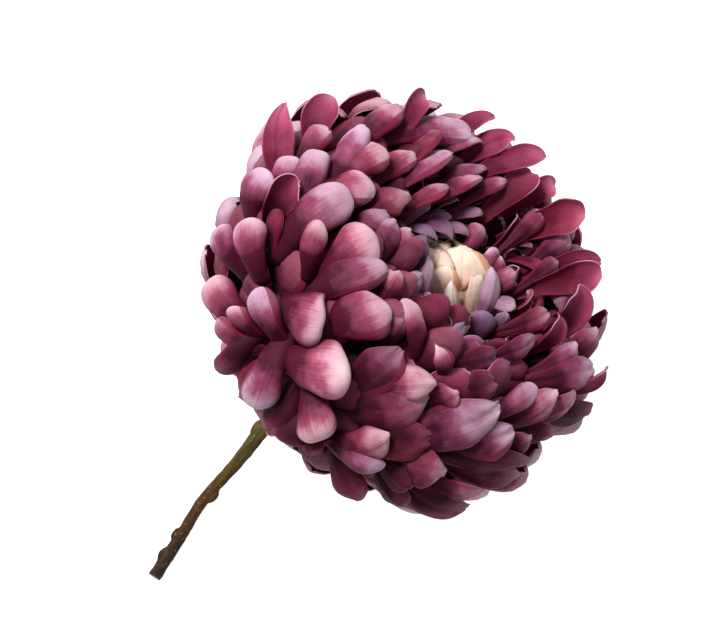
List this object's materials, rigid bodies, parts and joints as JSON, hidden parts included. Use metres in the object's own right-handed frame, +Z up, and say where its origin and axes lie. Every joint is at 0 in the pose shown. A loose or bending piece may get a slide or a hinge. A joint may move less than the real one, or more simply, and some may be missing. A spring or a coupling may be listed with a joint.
{
  "type": "cut chrysanthemum flower",
  "caption": "Large round incurved chrysanthemum bloom with a pale bud in its face, lying on its side on a short cut woody stem.",
  "frame": {"origin": "on the surface that the flower lies on, under the middle of its whole box", "axes": "+Z up; +X from the cut end of the stem towards the bloom, whose face looks up and along +X"},
  "size_m": [0.1811, 0.1397, 0.1167],
  "materials": {
    "petals": "soft matte petal, dusty pink back and crimson inside, with fine lengthwise veins",
    "inner_petals": "soft matte petal, lilac grey",
    "bud_petals": "soft matte petal, cream with tan folds",
    "calyx": "matte green bracts",
    "stem": "matte olive to brown bark with leaf scars"
  },
  "bodies": {
    "root": {"bloom_florets": "petals", "inner_florets": "inner_petals", "centre_florets": "bud_petals", "calyx": "calyx", "stem": "stem"}
  },
  "joints": []
}
